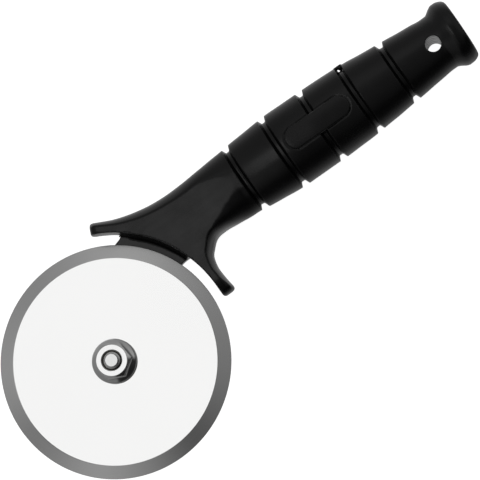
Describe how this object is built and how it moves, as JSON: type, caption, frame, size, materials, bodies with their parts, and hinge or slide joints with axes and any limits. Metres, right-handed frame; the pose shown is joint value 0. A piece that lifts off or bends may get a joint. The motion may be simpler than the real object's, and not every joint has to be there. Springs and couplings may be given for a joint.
{
  "type": "pizza knife",
  "caption": "Wheel cutter: a bevelled steel disc spinning on a bolt axle at the end of a grooved black handle with a two-pronged finger guard and a hang hole.",
  "frame": {"origin": "on the wheel's axis, in the back face of the axle bolt's head, which the knife rests on", "axes": "+Z along the wheel's axis towards the nut, +X along the handle towards its butt, +Y to the handle's side of the axle"},
  "size_m": [0.2266, 0.0942, 0.0241],
  "materials": {
    "handle_plastic": "black moulded plastic with a satin gloss",
    "arm_plastic": "dark grey-black rigid moulding, satin",
    "blade_steel": "stainless steel, mirror polished face and ground bevel",
    "bush_bronze": "sintered bronze",
    "fastener_steel": "zinc-plated steel",
    "washer_plastic": "natural nylon",
    "nut_chrome": "bright plated steel"
  },
  "bodies": {
    "handle": {"handle_grip": "handle_plastic", "axle_arm": "arm_plastic", "axle_bolt": "fastener_steel", "axle_sleeve": "fastener_steel", "back_washer": "washer_plastic", "front_washer": "washer_plastic", "flange_nut": "nut_chrome"},
    "wheel": {"blade_wheel": "blade_steel", "wheel_bushing": "bush_bronze"}
  },
  "joints": [
    {"name": "wheel_spin", "type": "hinge", "parent": "handle", "child": "wheel", "pos_m": [0, 0, 0.01209], "axis": [0, 0, 1], "continuous": true}
  ]
}
